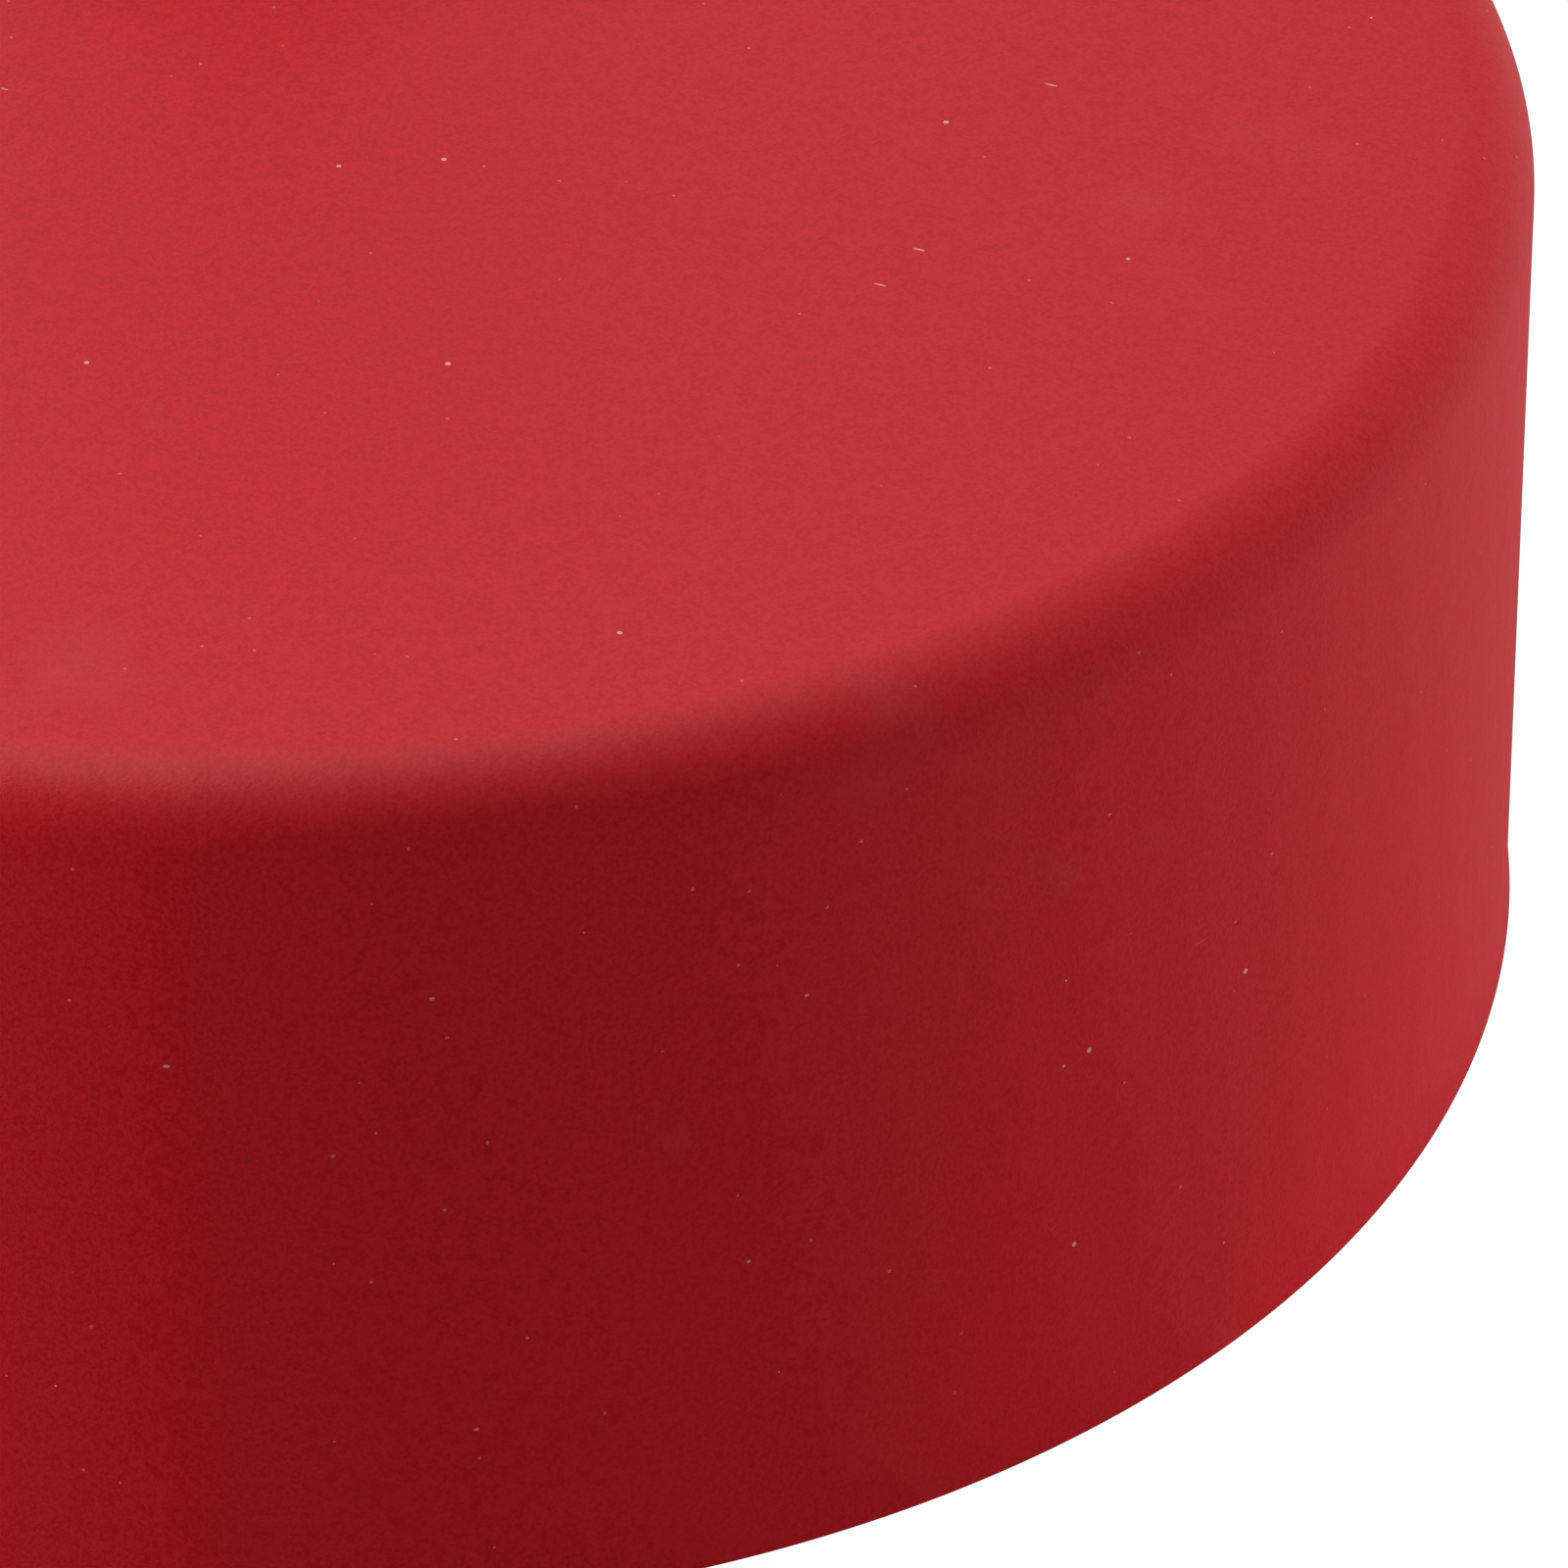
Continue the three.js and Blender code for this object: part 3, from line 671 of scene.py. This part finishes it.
def make_foot(material):
    """The cast foot: a rounded plate with a socket blended into it, bored for the arm and the screws."""
    low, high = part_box("handle_foot")
    radius = high.x
    middle_y = (low.y + high.y) / 2
    half_straight = (high.y - low.y) / 2 - radius
    plate_top = low.z + FOOT_THICKNESS
    edge = eased(
        [(radius, plate_top), (0, plate_top, 3 * MM), (0, low.z, 0.5 * MM), (radius, low.z)], 8,
    )
    flat_edge = (9 * MM, plate_top)
    plate = stadium_plate([flat_edge, *edge[1:-1]], radius, half_straight, middle_y)
    skirt_r = SOCKET_RADIUS + 6 * MM
    skirt_z = plate_top - 0.02 * MM
    socket = eased(
        [
            (0, high.z),
            (SOCKET_RADIUS, high.z, 2 * MM),
            (SOCKET_RADIUS, skirt_z, 5 * MM),
            (skirt_r, skirt_z),
            (skirt_r, plate_top - 2 * MM),
            (0, plate_top - 2 * MM),
        ],
        8,
    )
    joined = combined(plate, [turned(socket, 96, at(0, POST_Y))], "UNION")
    tools = [drill(ARM_RADIUS + CLEARANCE, low.z + 3 * MM, 1, at(0, POST_Y), 64)]
    for node in HANDLE_SCREWS:
        middle = centre_of(node)
        tools.append(drill(2.3 * MM, 0, 1, at(middle.x, middle.y)))
    set_screw_z = centre_of("handle_set_screw").z
    lie = at(0, POST_Y, set_screw_z) @ Matrix.Rotation(-math.pi / 2, 4, "X")
    tools.append(drill(2.8 * MM, ARM_RADIUS, SOCKET_RADIUS + 2 * MM, lie))
    mesh = combined(joined, tools, "DIFFERENCE")
    return add_piece("look_handle_foot", mesh, material, "stone", ["handle_foot"], 28)


def make_arm(material):
    """The bent bar from the foot's socket to the grip's front end."""
    low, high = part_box("handle_arm")
    axis_z = high.z - ARM_RADIUS
    front_y = low.y
    bend = 30 * MM
    path = [Vector((0, POST_Y, low.z)), Vector((0, POST_Y, low.z + 0.3 * MM))]
    path += [Vector((0, POST_Y, axis_z - bend - 1 * MM))]
    for i in range(33):
        angle = math.pi / 2 * i / 32
        path.append(
            Vector((0, POST_Y - bend + bend * math.cos(angle), axis_z - bend + bend * math.sin(angle)))
        )
    path += [Vector((0, front_y + 0.3 * MM, axis_z)), Vector((0, front_y, axis_z))]
    sides, verts, faces = 56, [], []
    for k, point in enumerate(path):
        before, after = path[max(0, k - 1)], path[min(len(path) - 1, k + 1)]
        along = (after - before).normalized()
        across = Vector((1, 0, 0))
        other = along.cross(across)
        radius = ARM_RADIUS - (0.4 * MM if k in (0, len(path) - 1) else 0)
        for i in range(sides):
            angle = 2 * math.pi * i / sides
            verts.append(point + (across * math.cos(angle) + other * math.sin(angle)) * radius)
    for k in range(len(path) - 1):
        for i in range(sides):
            j = (i + 1) % sides
            faces.append([k * sides + i, k * sides + j, (k + 1) * sides + j, (k + 1) * sides + i])
    faces.append(list(range(sides))[::-1])
    faces.append([(len(path) - 1) * sides + i for i in range(sides)])
    mesh = bpy.data.meshes.new("arm")
    mesh.from_pydata(verts, [], faces)
    lie = at(0, front_y, axis_z) @ Matrix.Rotation(-math.pi / 2, 4, "X")
    screw_hole = drill(2.3 * MM, -1 * MM, 16 * MM, lie)
    mesh = combined(mesh, [screw_hole], "DIFFERENCE")
    return add_piece("look_handle_arm", mesh, material, "stone", ["handle_arm"], 30)


def along_grip(y):
    """Puts a piece turned about +Z on the grip's axis, its base at y and its height running back."""
    low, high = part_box("grip_sleeve")
    return at(0, y, (low.z + high.z) / 2) @ Matrix.Rotation(-math.pi / 2, 4, "X")


def make_grip(rubber, painted, steel):
    low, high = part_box("grip_sleeve")
    length = high.y - low.y
    outer = high.x
    bore = ARM_RADIUS + CLEARANCE
    outline = [
        (bore, length),
        (outer - 1.2 * MM, length),
        (outer - 0.35 * MM, length - 0.4 * MM),
        (outer, length - 1.3 * MM),
    ]
    ribs, pitch, depth = 22, 3.2 * MM, 0.9 * MM
    start = length / 2 + ribs * pitch / 2
    for k in range(ribs):
        top = start - k * pitch
        outline += [
            (outer, top),
            (outer - depth * 0.8, top - 0.35 * MM),
            (outer - depth, top - 0.7 * MM),
            (outer - depth * 0.8, top - 1.05 * MM),
            (outer, top - 1.4 * MM),
        ]
    outline += [(outer, 1.3 * MM), (outer - 0.35 * MM, 0.4 * MM), (outer - 1.2 * MM, 0), (bore, 0)]
    mesh = turned(outline, 96, along_grip(low.y))
    pieces = [add_piece("look_grip_sleeve", mesh, rubber, "stone", ["grip_sleeve"], 50)]

    low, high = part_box("grip_collar")
    length = high.y - low.y
    collar = eased(
        [(bore, length), (outer, length, 1.2 * MM), (outer, 0, 0.4 * MM), (bore, 0)], 5,
    )
    mesh = turned(collar, 96, along_grip(low.y))
    pieces.append(add_piece("look_grip_collar", mesh, steel, "stone", ["grip_collar"], 30))

    low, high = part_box("grip_end_cap")
    length = high.y - low.y
    floor = length - 4.1 * MM
    cap = eased(
        [
            (2.3 * MM, length),
            (outer, length, 0.4 * MM),
            (outer, 0, 4.6 * MM),
            (4.3 * MM, 0, 0.4 * MM),
            (4.3 * MM, floor),
            (2.3 * MM, floor),
        ],
        8,
    )
    mesh = turned(cap, 96, along_grip(low.y))
    pieces.append(add_piece("look_grip_end_cap", mesh, painted, "stone", ["grip_end_cap"], 30))
    return pieces


# ---- the object ----

UNITS = (1, 2, 3)
POST_Y = 66 * MM
ARM_RADIUS = 11 * MM
SOCKET_RADIUS = 16 * MM
FOOT_THICKNESS = 8 * MM
CLEARANCE = 0.3 * MM
BASE_SCREWS = [f"base_screw_{i}" for i in range(1, 7)]
BALLAST_SCREWS = [f"ballast_screw_{i}" for i in UNITS]
UNIT_SCREWS = [f"unit_screw_{i}_{k}" for i in UNITS for k in "ab"]
HANDLE_SCREWS = [f"handle_screw_{i}" for i in range(1, 5)]
PLATE_SCREWS = {
    **{node: 2.3 * MM for node in BASE_SCREWS},
    **{node: 2.8 * MM for node in BALLAST_SCREWS},
    **{node: 1.9 * MM for node in UNIT_SCREWS},
}

make_camera()
overhead = make_studio()

red = cover_look()
black_plastic = plastic_look("base_plate_black", (0.02, 0.021, 0.023), 0.5, 0.5 * MM, 0.03 * MM)
nylon = plastic_look("nylon_natural", (0.55, 0.52, 0.44), 0.45, 0.6 * MM, 0.01 * MM)
painted = plastic_look("handle_black", (0.012, 0.012, 0.014), 0.42, 0.35 * MM, 0.02 * MM)
rubber = plastic_look("grip_rubber", (0.014, 0.014, 0.015), 0.75, 0.25 * MM, 0.04 * MM)
zinc = steel_look("zinc_plated_steel", (0.55, 0.56, 0.58), 0.32, 0.15)
polished = steel_look("bearing_steel", (0.72, 0.73, 0.75), 0.08)
iron = cast_look()

make_cover(red)
make_base_plate(black_plastic)
for i in UNITS:
    make_ball_unit(i, zinc, nylon, polished)
for node in BASE_SCREWS:
    hex_screw(node, 4 * MM, 1.8 * MM, 1, zinc)
for node in BALLAST_SCREWS:
    hex_screw(node, 4.8 * MM, 2.6 * MM, 1, zinc)
for node in UNIT_SCREWS:
    hex_screw(node, 3.4 * MM, 1.8 * MM, 1, zinc)

handle = [make_foot(painted), make_arm(painted), *make_grip(rubber, painted, zinc)]
for node in HANDLE_SCREWS:
    handle.append(hex_screw(node, 4 * MM, 1.8 * MM, -1, zinc))

kept = {
    "rubber": rubber, "ballast": iron, "nylon": nylon, "ball_steel": polished, "steel": zinc,
}
slots = {part["node"]: part["material_slot"] for part in frame["record"]["subparts"]}
for node, piece in frame["nodes"].items():
    if piece.hide_render:
        continue
    piece.data.materials.clear()
    piece.data.materials.append(kept[slots[node]])

small_parts = ("handle_gasket", "grip_screw", "handle_set_screw")
pass_by(overhead, [*handle, *[frame["nodes"][node] for node in small_parts]])
